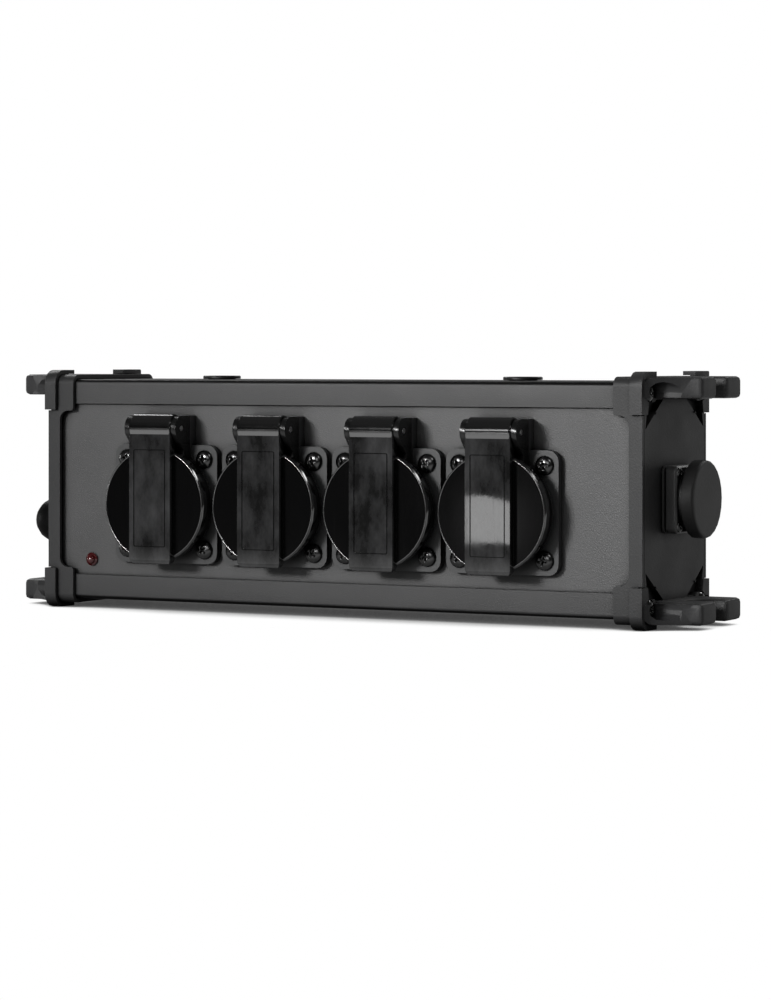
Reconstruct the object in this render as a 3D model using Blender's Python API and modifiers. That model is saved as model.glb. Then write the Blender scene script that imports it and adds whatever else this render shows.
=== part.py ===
"""A power splitter box for stage use: an extruded case with moulded end caps, four hinged-lid sockets,
a locking outlet and inlet, a resettable breaker and an indicator lamp.

X runs along the box, Y from its front to its back and Z up. The origin is under the middle of the box.
Places below are measured from the middle of the length, the front face of the rails and the table.
"""

import math

import bmesh
import bpy
from mathutils import Matrix, Vector

MM = 0.001

# Clearances
SEAT = 0.3 * MM
OVERLAP = 1 * MM

# Sides of the larger round pieces
CUP_STEPS = 28
LID_STEPS = 30

# Case: two extruded rails, with a panel held in their slots at the front and at the back
CASE_DEPTH = 61.5 * MM
CASE_HEIGHT = 94 * MM
RAIL_FLANGE = 10.5 * MM
RAIL_WALL = 1.9 * MM
RAIL_EDGE_RADIUS = 2 * MM
RAIL_INNER_LIP = 1.4 * MM
SCREW_BOSS_RADIUS = 3.4 * MM
SCREW_INSET = 4.2 * MM
PANEL_THICKNESS = 2 * MM
PANEL_RECESS = 1.5 * MM
PANEL_GRIP = 2 * MM

# End frames and end caps
FRAME_HALF_LENGTH = 139 * MM
FRAME_WALL = 2 * MM
FRAME_BAND = 5.8 * MM
BLOCK_LENGTH = 12.6 * MM
BLOCK_HEIGHT = 15.4 * MM
BLOCK_FILLET = 4 * MM
BLOCK_ROUND = 1.2 * MM
CAP_PLATE = 4 * MM
LUG_WALL = 2 * MM
LUG_LENGTH = 4.8 * MM
LUG_PROUD = 0.6 * MM
LUG_ALONG_DEPTH = 15 * MM
LUG_ALONG_HEIGHT = 17 * MM
BACK_LUG_ROUND = 0.8 * MM
PAD_DEPTH = 1.7 * MM

# Fork ears for a clamp bolt, the flares at their roots, and the hollows under them
EAR_REACH = 20.4 * MM
EAR_WIDTH = 42 * MM
EAR_THICKNESS = 8.8 * MM
EAR_ROUND = 1.8 * MM
SLOT_WIDTH = 10 * MM
SLOT_DEPTH = 15.9 * MM
FLARE_REACH = 16 * MM
FLARE_HOLLOW = 1.2 * MM
FLARE_STEP = 0.4 * MM
CHANNEL_CLEARANCE = 0.35 * MM
CHANNEL_FLOOR = 1 * MM
HOLLOW_DEPTH = 2.6 * MM
HOLLOW_DROP = 12 * MM
HOLLOW_INTO_EAR = 9 * MM

# End screws
SCREW_RADIUS = 1.95 * MM
SCREW_LENGTH = 24 * MM
SCREW_HEAD_RADIUS = 3.8 * MM
SCREW_HEAD_HEIGHT = 2.3 * MM

# Sockets
SOCKET_COUNT = 4
SOCKET_GAP = 2.5 * MM
SOCKET_ROW_X = -0.9 * MM
SOCKET_Z = 45.6 * MM
FLANGE_SIDE = 50 * MM
FLANGE_ROUND = 4.5 * MM
FLANGE_THICKNESS = 2 * MM
FLANGE_HOLE_INSET = 6 * MM
FLANGE_HOLE_RADIUS = 2 * MM
GASKET_THICKNESS = 1 * MM
COLLAR_INSET = 2.25 * MM
COLLAR_HEIGHT = 6.3 * MM
CUP_STEP = 1.45 * MM
CUP_WALL = 2 * MM
CUP_FLOOR = 2.9 * MM
RECESS_DEPTH = 17.5 * MM
PIN_HOLE_RADIUS = 2.5 * MM
PIN_SPACING = 19 * MM
EARTH_STRIP_WIDTH = 6 * MM
EARTH_STRIP_THICKNESS = 0.8 * MM
EARTH_CLIP_GAP = 1.1 * MM
EARTH_CLIP_BOW = 1.6 * MM
BLOCK_SIZE = (34 * MM, 24 * MM, 11.5 * MM)

# Socket lids and their hinges
LID_OVERHANG = 1.45 * MM
LID_THICKNESS = 3.4 * MM
LID_RIM = 0.7 * MM
LID_SEAL_CLEARANCE = 0.9 * MM
LID_SEAL_HEIGHT = 1.2 * MM
STRAP_WIDTH = 19.9 * MM
STRAP_THICKNESS = 3.4 * MM
STRAP_BELOW_LID = 0.6 * MM
STRAP_ROUND = 2.2 * MM
ROLL_RADIUS = 5.5 * MM
ROLL_ABOVE_FLANGE = 7.2 * MM
EAR_PLATE = 2.2 * MM
EAR_PLATE_RADIUS = 5.2 * MM
HINGE_GAP = 0.6 * MM
HINGE_INTO_COLLAR = 4.35 * MM
LID_PIN_RADIUS = 1.25 * MM
SPRING_WIRE_RADIUS = 0.4 * MM
SPRING_COIL_RADIUS = 2.7 * MM
SPRING_TURNS = 3.5
SPRING_PITCH = 1.5 * MM
SPRING_POCKET_RADIUS = 3.7 * MM
TANG_LENGTH = 1.5 * MM

# Locking connectors on the end plates
OUTLET_Z = 51 * MM
INLET_Z = 66 * MM
CONNECTOR_WIDTH = 29 * MM
CONNECTOR_HEIGHT = 27 * MM
CONNECTOR_ROUND = 2.5 * MM
CONNECTOR_GASKET = 1 * MM
CONNECTOR_FLANGE = 5.2 * MM
BARREL_RADIUS = 11.9 * MM
BARREL_LENGTH = 26 * MM
NOSE_RADIUS = 13.1 * MM
NOSE_HEIGHT = 5.1 * MM
MOUTH_RADIUS = 9.8 * MM
MOUTH_DEPTH = 15 * MM
CORE_RADIUS = 6.4 * MM
CORE_BELOW_NOSE = 1 * MM
RUBBER_CAP_RADIUS = 15.7 * MM
RUBBER_CAP_TOP = 2.1 * MM
RUBBER_CAP_SKIRT = 3.3 * MM
RUBBER_CAP_ROUND = 1.4 * MM
CAP_TAB_WIDTH = 6.4 * MM
CAP_TAB_REACH = 1.6 * MM

# Resettable breaker, the rubber boot on its button, and the indicator lamp
BREAKER_Y = 19 * MM
BREAKER_Z = 36.4 * MM
BOOT_RADIUS = 9.8 * MM
BOOT_DOME_START = 8.3 * MM
BOOT_TRAVEL = 2.5 * MM
BEZEL_WALL = 1.4 * MM
BEZEL_FLOOR = 0.8 * MM
BEZEL_HEIGHT = 5.7 * MM
BREAKER_NECK_RADIUS = 6 * MM
BREAKER_NECK_LENGTH = 6 * MM
BREAKER_BODY_DEPTH = 15 * MM
BREAKER_BODY_HEIGHT = 30 * MM
BREAKER_FROM_BLOCK = 12.6 * MM
LAMP_OFF_MIDDLE = 0.3 * MM
LAMP_Z = 21 * MM
LAMP_RADIUS = 2.3 * MM
LAMP_BEZEL_RADIUS = 2.8 * MM
LAMP_LENGTH = 9 * MM

# Threaded inserts for a clamp, in the top rail
INSERT_SPACING = 143.2 * MM
INSERT_FLANGE_RADIUS = 8.15 * MM
INSERT_FLANGE_HEIGHT = 1.3 * MM
INSERT_BODY_RADIUS = 6 * MM
INSERT_BORE_RADIUS = 4.25 * MM
INSERT_LENGTH = 12 * MM

# Wires behind the sockets
WIRE_RADIUS = 1.4 * MM
WIRE_SPACING = 7 * MM
WIRE_STAND_OFF = 4 * MM

# Heights and places that follow
FRAME_HEIGHT = CASE_HEIGHT + 2 * FRAME_WALL
FRAME_DEPTH = CASE_DEPTH + 2 * FRAME_WALL
CASE_BOTTOM = FRAME_WALL + LUG_WALL
CASE_TOP = CASE_BOTTOM + CASE_HEIGHT
MID_Y = CASE_DEPTH / 2
MID_Z = (CASE_BOTTOM + CASE_TOP) / 2
CONNECTOR_Y = MID_Y
LUG_DEPTH = FRAME_DEPTH + 2 * LUG_WALL
LUG_HEIGHT = FRAME_HEIGHT + 2 * LUG_WALL
LUG_ROUND = RAIL_EDGE_RADIUS + FRAME_WALL + LUG_WALL
RAIL_HALF_LENGTH = FRAME_HALF_LENGTH - CAP_PLATE - SEAT
SCREW_FROM_MID_Y = MID_Y - SCREW_INSET
SCREW_FROM_MID_Z = CASE_HEIGHT / 2 - SCREW_INSET
CHANNEL_RADIUS = SCREW_HEAD_RADIUS + CHANNEL_CLEARANCE
SOCKET_PITCH = FLANGE_SIDE + SOCKET_GAP
FLANGE_HOLES = FLANGE_SIDE - 2 * FLANGE_HOLE_INSET
COLLAR_RADIUS = FLANGE_SIDE / 2 - COLLAR_INSET
CUP_RADIUS = COLLAR_RADIUS - CUP_STEP
RECESS_RADIUS = CUP_RADIUS - CUP_WALL
EARTH_CLIP_RADIUS = RECESS_RADIUS - EARTH_CLIP_GAP
LID_RADIUS = COLLAR_RADIUS + LID_OVERHANG
LID_SEAL_RADIUS = RECESS_RADIUS - LID_SEAL_CLEARANCE
PANEL_Y = PANEL_RECESS + PANEL_THICKNESS / 2
PANEL_HEIGHT = CASE_HEIGHT - 2 * RAIL_FLANGE + 2 * PANEL_GRIP
GASKET_FRONT = PANEL_RECESS - SEAT - GASKET_THICKNESS
FLANGE_BACK = GASKET_FRONT - SEAT
FLANGE_FRONT = FLANGE_BACK - FLANGE_THICKNESS
COLLAR_FRONT = FLANGE_FRONT - COLLAR_HEIGHT
RECESS_FLOOR = COLLAR_FRONT + RECESS_DEPTH
CUP_BACK = RECESS_FLOOR + CUP_FLOOR
LID_BACK = COLLAR_FRONT - SEAT
LID_FRONT = LID_BACK - LID_THICKNESS
STRAP_FRONT = LID_FRONT - STRAP_THICKNESS
PIN_Y = STRAP_FRONT + ROLL_RADIUS
PIN_Z = SOCKET_Z + FLANGE_SIDE / 2 + ROLL_ABOVE_FLANGE
EAR_PLATE_INNER = STRAP_WIDTH / 2 + SEAT
EAR_PLATE_OUTER = EAR_PLATE_INNER + EAR_PLATE
HINGE_BASE_FRONT = PIN_Y + ROLL_RADIUS + HINGE_GAP
STRIP_BACK = CUP_BACK + SEAT + EARTH_STRIP_THICKNESS
CONTACT_BLOCK_FRONT = STRIP_BACK + SEAT
CONTACT_BLOCK_BACK = CONTACT_BLOCK_FRONT + BLOCK_SIZE[2]
WIRE_Y = CONTACT_BLOCK_BACK + WIRE_STAND_OFF
CENTRE_Y = (STRAP_FRONT + CASE_DEPTH + FRAME_WALL + LUG_WALL) / 2
SOCKET_XS = [SOCKET_ROW_X + (i - (SOCKET_COUNT - 1) / 2) * SOCKET_PITCH for i in range(SOCKET_COUNT)]
LAMP_X = (SOCKET_XS[0] - FLANGE_SIDE / 2 - FRAME_HALF_LENGTH + FRAME_BAND) / 2 + LAMP_OFF_MIDDLE
BREAKER_BODY_END = SOCKET_XS[0] - BLOCK_SIZE[0] / 2 - BREAKER_FROM_BLOCK

# Which way an outline drawn in the XY plane faces once it is placed
TOP_VIEW = Matrix.Identity(3)
FRONT_VIEW = Matrix(((1, 0, 0), (0, 0, -1), (0, 1, 0)))
SIDE_VIEW = Matrix(((0, 0, 1), (1, 0, 0), (0, 1, 0)))
LEFT_VIEW = Matrix(((0, 0, -1), (-1, 0, 0), (0, 1, 0)))

for existing in list(bpy.data.objects):
    bpy.data.objects.remove(existing)

parts = bpy.data.collections.new("power_splitter_box")
cutters = bpy.data.collections.new("cutters")
bpy.context.scene.collection.children.link(parts)
bpy.context.scene.collection.children.link(cutters)

box_middle = bpy.data.objects.new("box_middle", None)
box_middle.location = (0, -CENTRE_Y, 0)
parts.objects.link(box_middle)


def material(name, colour, roughness, metallic=0.0):
    made = bpy.data.materials.new(name)
    made.use_nodes = True
    shader = made.node_tree.nodes["Principled BSDF"]
    shader.inputs["Base Color"].default_value = (*colour, 1)
    shader.inputs["Roughness"].default_value = roughness
    shader.inputs["Metallic"].default_value = metallic
    return made


CASE_PAINT = material("case_paint", (0.075, 0.075, 0.075), 0.55, 0.3)
CAP_PLASTIC = material("cap_plastic", (0.06, 0.06, 0.06), 0.6)
FLANGE_PLASTIC = material("flange_plastic", (0.07, 0.07, 0.07), 0.5)
LID_PLASTIC = material("lid_plastic", (0.01, 0.01, 0.01), 0.18)
RUBBER = material("rubber", (0.02, 0.02, 0.02), 0.8)
BLACK_SCREW = material("black_screw", (0.02, 0.02, 0.02), 0.3, 0.9)
STEEL = material("steel", (0.6, 0.6, 0.6), 0.3, 1.0)
BRASS = material("brass", (0.75, 0.55, 0.25), 0.3, 1.0)
CONTACT_PLASTIC = material("contact_plastic", (0.5, 0.5, 0.48), 0.5)
LAMP_RED = material("lamp_red", (0.35, 0.01, 0.01), 0.1)
BROWN_WIRE = material("brown_wire", (0.12, 0.05, 0.02), 0.5)
BLUE_WIRE = material("blue_wire", (0.02, 0.08, 0.4), 0.5)
GREEN_WIRE = material("green_wire", (0.1, 0.3, 0.05), 0.5)


def arc(u, v, radius, start, end, steps):
    """Points on an arc about (u, v), with its angles in degrees."""
    angles = [math.radians(start + (end - start) * i / steps) for i in range(steps + 1)]
    return [(u + radius * math.cos(a), v + radius * math.sin(a)) for a in angles]


def circle(u, v, radius, steps):
    return arc(u, v, radius, 0, 360, steps)[:-1]


def rounded_rectangle(width, height, radius, steps=4):
    corners = ((1, 1, 0), (-1, 1, 90), (-1, -1, 180), (1, -1, 270))
    points = []
    for across, up, start in corners:
        centre = (across * (width / 2 - radius), up * (height / 2 - radius))
        points += arc(*centre, radius, start, start + 90, steps)
    return points


def place(name, mesh, paint, location, parent=box_middle):
    """An object of the box, or a tool that cuts or joins one where it has no paint."""
    made = bpy.data.objects.new(name, mesh)
    made.location = location
    made.parent = parent
    if paint is None:
        cutters.objects.link(made)
        made.hide_render = True
        made.display_type = "WIRE"
        return made
    mesh.materials.append(paint)
    mesh.shade_smooth()
    mesh.set_sharp_from_angle(angle=math.radians(35))
    parts.objects.link(made)
    return made


def outline_solid(name, outlines, thickness, view, paint, location, parent=box_middle):
    """A flat outline, with any holes as further outlines, extruded half its thickness each way."""
    curve = bpy.data.curves.new(name, "CURVE")
    curve.dimensions = "2D"
    curve.fill_mode = "BOTH"
    curve.extrude = thickness / 2
    for points in outlines:
        spline = curve.splines.new("POLY")
        spline.points.add(len(points) - 1)
        spline.use_cyclic_u = True
        for point, (u, v) in zip(spline.points, points):
            point.co = (u, v, 0, 1)
    drawn = bpy.data.objects.new(name, curve)
    cutters.objects.link(drawn)
    graph = bpy.context.evaluated_depsgraph_get()
    mesh = bpy.data.meshes.new_from_object(drawn.evaluated_get(graph))
    bpy.data.objects.remove(drawn)
    weld(mesh, view)
    return place(name, mesh, paint, location, parent)


def weld(mesh, view):
    """Closes the loose caps of a curve's mesh and turns it to face its view."""
    solid = bmesh.new()
    solid.from_mesh(mesh)
    bmesh.ops.remove_doubles(solid, verts=solid.verts, dist=0.001 * MM)
    bmesh.ops.transform(solid, matrix=view.to_4x4(), verts=solid.verts)
    bmesh.ops.recalc_face_normals(solid, faces=solid.faces)
    solid.to_mesh(mesh)
    solid.free()


def turned(name, profile, steps, view, paint, location, parent=box_middle):
    """A profile of (radius, height) points turned about its height, which points along the view."""
    mesh = bpy.data.meshes.new(name)
    shape = bmesh.new()
    corners = [shape.verts.new((radius, 0, height)) for radius, height in profile]
    for a, b in zip(corners, corners[1:]):
        shape.edges.new((a, b))
    if profile[0][0] > 0:
        shape.edges.new((corners[-1], corners[0]))
    shape.to_mesh(mesh)
    shape.free()
    made = place(name, mesh, paint, location, parent)
    made.rotation_euler = view.to_euler()
    screw = made.modifiers.new("turn", "SCREW")
    screw.steps = steps
    screw.render_steps = steps
    screw.use_merge_vertices = True
    screw.merge_threshold = 0.001 * MM
    return made


def cylinder(name, radius, length, steps, view, paint, location, parent=box_middle):
    half = length / 2
    return turned(name, [(0, half), (radius, half), (radius, -half), (0, -half)], steps, view, paint, location, parent)


def box(name, size, paint, location, parent=box_middle):
    mesh = bpy.data.meshes.new(name)
    shape = bmesh.new()
    bmesh.ops.create_cube(shape, size=1)
    bmesh.ops.scale(shape, vec=size, verts=shape.verts)
    shape.to_mesh(mesh)
    shape.free()
    return place(name, mesh, paint, location, parent)


def combine(target, tool, operation):
    step = target.modifiers.new(tool.name, "BOOLEAN")
    step.operation = operation
    step.object = tool
    step.solver = "EXACT"


def cut(target, tool):
    combine(target, tool, "DIFFERENCE")


def join(target, tool):
    combine(target, tool, "UNION")


def keep_common(target, tool):
    combine(target, tool, "INTERSECT")


def mirrored(tool, axes):
    """Repeats a tool on the other side of its origin, along each axis named."""
    repeat = tool.modifiers.new("mirror", "MIRROR")
    repeat.use_axis = ["X" in axes, "Y" in axes, "Z" in axes]
    repeat.use_mirror_merge = False
    return tool


def rounded(target, width, segments=2):
    """Rounds every sharp edge of a solid drawn from one outline, after making one face of each flat side."""
    shape = bmesh.new()
    shape.from_mesh(target.data)
    bmesh.ops.dissolve_limit(shape, angle_limit=math.radians(0.5), verts=shape.verts, edges=shape.edges)
    shape.to_mesh(target.data)
    shape.free()
    edge = target.modifiers.new("rounding", "BEVEL")
    edge.width = width
    edge.segments = segments
    edge.limit_method = "ANGLE"
    edge.angle_limit = math.radians(50)
    return target


def round_edges(target, chosen, radius, segments):
    """Rounds the edges of a plain solid whose two ends the test chooses."""
    shape = bmesh.new()
    shape.from_mesh(target.data)
    edges = [edge for edge in shape.edges if all(chosen(end.co) for end in edge.verts)]
    bmesh.ops.bevel(shape, geom=edges, offset=radius, segments=segments, affect="EDGES", profile=0.5)
    shape.to_mesh(target.data)
    shape.free()
    return target


def rail_outline(up):
    """Section of a rail: a channel with a panel slot and a screw boss along each side."""
    slot_start = PANEL_RECESS - SEAT
    slot_end = PANEL_RECESS + PANEL_THICKNESS + SEAT
    lip_end = slot_end + RAIL_INNER_LIP
    slot_top = -RAIL_FLANGE + PANEL_GRIP + SEAT
    boss_start = math.degrees(math.asin((lip_end - SCREW_INSET) / SCREW_BOSS_RADIUS)) - 90
    boss_end = math.degrees(math.asin((SCREW_INSET - RAIL_WALL) / SCREW_BOSS_RADIUS))
    half = arc(RAIL_EDGE_RADIUS, -RAIL_EDGE_RADIUS, RAIL_EDGE_RADIUS, 90, 180, 3)
    half += [(0, -RAIL_FLANGE), (slot_start, -RAIL_FLANGE), (slot_start, slot_top)]
    half += [(slot_end, slot_top), (slot_end, -RAIL_FLANGE), (lip_end, -RAIL_FLANGE)]
    half += arc(SCREW_INSET, -SCREW_INSET, SCREW_BOSS_RADIUS, boss_start, boss_end, 4)
    other = [(CASE_DEPTH - u, v) for u, v in reversed(half)]
    return [(u, up * v) for u, v in half + other]


def rail(name, up, level):
    hole = SCREW_RADIUS + SEAT
    outlines = [rail_outline(up)]
    for across in (SCREW_INSET, CASE_DEPTH - SCREW_INSET):
        outlines.append(circle(across, -up * SCREW_INSET, hole, 6))
    return outline_solid(name, outlines, 2 * RAIL_HALF_LENGTH, SIDE_VIEW, CASE_PAINT, (0, 0, level))


def panel(name, middle_y, holes):
    half_length = RAIL_HALF_LENGTH
    half_height = PANEL_HEIGHT / 2
    edge = [(-half_length, -half_height), (half_length, -half_height)]
    edge += [(half_length, half_height), (-half_length, half_height)]
    return outline_solid(name, [edge] + holes, PANEL_THICKNESS, FRONT_VIEW, CASE_PAINT, (0, middle_y, MID_Z))


def flange_holes(x, z, radius):
    half = FLANGE_HOLES / 2
    return [circle(x + a * half, z + b * half, radius, 6) for a in (-1, 1) for b in (-1, 1)]


def front_panel_holes():
    holes = []
    level = SOCKET_Z - MID_Z
    for x in SOCKET_XS:
        holes.append(circle(x, level, CUP_RADIUS + SEAT, CUP_STEPS))
        holes += flange_holes(x, level, FLANGE_HOLE_RADIUS)
    holes.append(circle(LAMP_X, LAMP_Z - MID_Z, LAMP_RADIUS + SEAT, 12))
    return holes


def window_outline():
    """Opening between a frame's blocks, from its inner end to its band."""
    half = FRAME_HEIGHT / 2 - BLOCK_HEIGHT
    inner = -BLOCK_LENGTH
    upper = [(inner - OVERLAP, half + BLOCK_ROUND)]
    upper += arc(inner + BLOCK_ROUND, half + BLOCK_ROUND, BLOCK_ROUND, 180, 270, 3)
    upper += arc(-FRAME_BAND - BLOCK_FILLET, half - BLOCK_FILLET, BLOCK_FILLET, 90, 0, 5)
    return upper + [(u, -v) for u, v in reversed(upper)]


def end_frame(name, side):
    """Sleeve over the rails' ends, open at the front and back between its corner blocks."""
    sleeve = rounded_rectangle(FRAME_DEPTH, FRAME_HEIGHT, RAIL_EDGE_RADIUS + FRAME_WALL, 5)
    inside = rounded_rectangle(CASE_DEPTH + 2 * SEAT, CASE_HEIGHT + 2 * SEAT, RAIL_EDGE_RADIUS + SEAT, 4)
    middle = side * (FRAME_HALF_LENGTH - BLOCK_LENGTH / 2)
    frame = outline_solid(name, [sleeve, inside], BLOCK_LENGTH, SIDE_VIEW, CAP_PLASTIC, (middle, MID_Y, MID_Z))
    outer = bpy.data.objects.new(name + "_outer_end", None)
    outer.parent = frame
    outer.location = (side * BLOCK_LENGTH / 2, 0, 0)
    outer.rotation_euler.z = 0 if side > 0 else math.pi
    cutters.objects.link(outer)
    window = outline_solid(
        name + "_window", [window_outline()], FRAME_DEPTH + OVERLAP, FRONT_VIEW, None, (0, 0, 0), outer
    )
    cut(frame, window)
    size = (2 * (PAD_DEPTH + SEAT), LUG_ALONG_DEPTH + SEAT, LUG_ALONG_HEIGHT + SEAT)
    corner = (0, LUG_DEPTH / 2 - size[1] / 2, LUG_HEIGHT / 2 - size[2] / 2)
    notch = box(name + "_notch", size, None, (0, 0, 0), outer)
    notch.data.transform(Matrix.Translation(corner))
    cut(frame, mirrored(notch, "YZ"))
    return frame


def corner_outline(corner, wall=None):
    """A corner pad seen from the end or, with a wall, the lug that wraps over the frame's corner."""
    half_y = LUG_DEPTH / 2
    half_z = LUG_HEIGHT / 2
    points = arc(half_y - corner, half_z - corner, corner, 90, 0, 4)
    points.append((half_y, half_z - LUG_ALONG_HEIGHT))
    if wall is None:
        points.append((half_y - LUG_ALONG_DEPTH, half_z - LUG_ALONG_HEIGHT))
    else:
        points.append((half_y - wall, half_z - LUG_ALONG_HEIGHT))
        points += arc(half_y - LUG_ROUND, half_z - LUG_ROUND, LUG_ROUND - wall, 0, 90, 4)
        points.append((half_y - LUG_ALONG_DEPTH, half_z - wall))
    points.append((half_y - LUG_ALONG_DEPTH, half_z))
    return points


def ear_outline():
    """Fork ear from above, from inside the end plate to its open end."""
    half = EAR_WIDTH / 2
    slot = SLOT_WIDTH / 2
    root = OVERLAP - CAP_PLATE
    points = [(root, -half), (EAR_REACH, -half), (EAR_REACH, -slot)]
    points += arc(EAR_REACH - SLOT_DEPTH + slot, 0, slot, 270, 90, 6)
    return points + [(EAR_REACH, slot), (EAR_REACH, half), (root, half)]


def flare_plan():
    """Flare at the root of an ear from above: a hollow curve from the cap's edge out to the ear's side."""
    start = Vector((0, FRAME_DEPTH / 2))
    end = Vector((FLARE_REACH, EAR_WIDTH / 2 - SEAT))
    chord = end - start
    bow = Vector((chord.y, -chord.x)).normalized() * FLARE_HOLLOW
    points = [tuple(start + chord * t + bow * 4 * t * (1 - t)) for t in (i / 5 for i in range(6))]
    inner = EAR_WIDTH / 2 - 3 * OVERLAP
    return points + [(FLARE_REACH, inner), (-OVERLAP, inner), (-OVERLAP, FRAME_DEPTH / 2)]


def flare_side():
    """Flare from the end: as thick as the ear, less a step, and rounded at the cap's edge."""
    radius = RAIL_EDGE_RADIUS + FRAME_WALL
    half_y = FRAME_DEPTH / 2
    top = FRAME_HEIGHT / 2 - FLARE_STEP
    bottom = FRAME_HEIGHT / 2 - EAR_THICKNESS + FLARE_STEP
    inner = EAR_WIDTH / 2 - 2 * OVERLAP
    return arc(half_y - radius, top - radius, radius, 90, 0, 5) + [(half_y, bottom), (inner, bottom), (inner, top)]


def hollow_outline():
    """Hollow in the end plate from the end: it widens from the plate's edge up to the screw and the ear."""
    under_ear = FRAME_HEIGHT / 2 - EAR_THICKNESS
    seat_low = SCREW_FROM_MID_Z - CHANNEL_RADIUS + SEAT
    beside_screw = SCREW_FROM_MID_Y - CHANNEL_RADIUS
    points = [(CASE_DEPTH / 2 - OVERLAP, under_ear - HOLLOW_DROP), (SCREW_FROM_MID_Y + OVERLAP, seat_low)]
    points += [(beside_screw - SEAT, seat_low), (beside_screw - 2 * OVERLAP, under_ear - SEAT)]
    return points + [(EAR_WIDTH / 2 - HOLLOW_INTO_EAR, under_ear - SEAT)]


def end_cap(name, side):
    """End plate inside the frame, with corner lugs, fork ears with flares, screw channels and hollows.

    It is drawn for the right end, about the middle of its outer face, and turned round for the left one.
    """
    outline = rounded_rectangle(CASE_DEPTH, CASE_HEIGHT, RAIL_EDGE_RADIUS, 3)
    plate = outline_solid(
        name, [outline], CAP_PLATE, SIDE_VIEW, CAP_PLASTIC, (side * FRAME_HALF_LENGTH, MID_Y, MID_Z)
    )
    plate.data.transform(Matrix.Translation((-CAP_PLATE / 2, 0, 0)))
    plate.rotation_euler.z = 0 if side > 0 else math.pi

    def tool(label, outlines, start, end, view, lift=0):
        made = outline_solid(name + label, outlines, end - start, view, None, (0, 0, 0), plate)
        shift = (start + end) / 2
        made.data.transform(Matrix.Translation((shift, 0, 0) if view == SIDE_VIEW else (0, 0, shift + lift)))
        return made

    half_z = FRAME_HEIGHT / 2
    under_ear = half_z - EAR_THICKNESS
    for across, label in ((-side, "front"), (side, "back")):
        corner = LUG_ROUND if label == "front" else BACK_LUG_ROUND
        pad = [(across * u, v) for u, v in corner_outline(corner)]
        join(plate, mirrored(tool(f"_{label}_pads", [pad], -PAD_DEPTH, LUG_PROUD, SIDE_VIEW), "Z"))
        lug = [(across * u, v) for u, v in corner_outline(corner, LUG_WALL - SEAT)]
        lugs = tool(f"_{label}_lugs", [lug], -LUG_LENGTH, LUG_PROUD - 0.1 * OVERLAP, SIDE_VIEW)
        join(plate, mirrored(lugs, "Z"))
    around = rounded_rectangle(LUG_DEPTH + OVERLAP, LUG_HEIGHT + OVERLAP, OVERLAP, 1)
    within = rounded_rectangle(CASE_DEPTH - 2 * OVERLAP, CASE_HEIGHT - 2 * OVERLAP, OVERLAP, 1)
    frame_space = tool("_frame_space", [around, within], -CAP_PLATE, SEAT, SIDE_VIEW)
    flares = tool("_flares", [flare_plan()], under_ear - OVERLAP, half_z + OVERLAP, TOP_VIEW)
    keep_common(flares, tool("_flare_sides", [flare_side()], -2 * OVERLAP, FLARE_REACH + OVERLAP, SIDE_VIEW))
    cut(flares, frame_space)
    join(plate, mirrored(flares, "YZ"))
    ears = tool("_ears", [ear_outline()], under_ear, half_z, TOP_VIEW)
    rounded(ears, EAR_ROUND)
    cut(ears, frame_space)
    join(plate, mirrored(ears, "Z"))
    screw_place = (SCREW_FROM_MID_Y, SCREW_FROM_MID_Z)
    channel = tool(
        "_channels", [circle(*screw_place, CHANNEL_RADIUS, 12)], -CHANNEL_FLOOR, EAR_REACH + OVERLAP, SIDE_VIEW
    )
    cut(plate, mirrored(channel, "YZ"))
    hollows = tool("_hollows", [hollow_outline()], -HOLLOW_DEPTH, 2 * LUG_PROUD, SIDE_VIEW)
    cut(plate, mirrored(hollows, "YZ"))
    holes = tool("_screw_holes", [circle(*screw_place, SCREW_RADIUS + SEAT, 6)], -CAP_PLATE - OVERLAP, 0, SIDE_VIEW)
    cut(plate, mirrored(holes, "YZ"))
    return plate


def plate_hole(cap, side, label, radius, y, z):
    """A round hole through an end plate, in the box's own directions."""
    middle = (side * (FRAME_HALF_LENGTH - CAP_PLATE / 2), y, z)
    cut(cap, cylinder(cap.name + label, radius, CAP_PLATE + 2 * OVERLAP, 20, SIDE_VIEW, None, middle))


def pan_head_profile(head_radius, head_height, shank_radius, shank_length):
    """Screw profile from the top of a domed head to its point, with the seat of the head at zero."""
    dome = [(0, head_height), (head_radius * 0.55, head_height * 0.93), (head_radius * 0.9, head_height * 0.6)]
    return dome + [(head_radius, 0), (shank_radius, 0), (shank_radius, -shank_length), (0, -shank_length)]


def end_screws(side, end_name):
    profile = pan_head_profile(SCREW_HEAD_RADIUS, SCREW_HEAD_HEIGHT, SCREW_RADIUS, SCREW_LENGTH)
    seat = side * (FRAME_HALF_LENGTH - CHANNEL_FLOOR + SEAT)
    view = SIDE_VIEW if side > 0 else LEFT_VIEW
    for across, where in ((-1, "front"), (1, "back")):
        for up, level in ((1, "upper"), (-1, "lower")):
            place_on = (seat, MID_Y + across * SCREW_FROM_MID_Y, MID_Z + up * SCREW_FROM_MID_Z)
            turned(f"end_screw_{end_name}_{where}_{level}", profile, 8, view, BLACK_SCREW, place_on)


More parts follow.
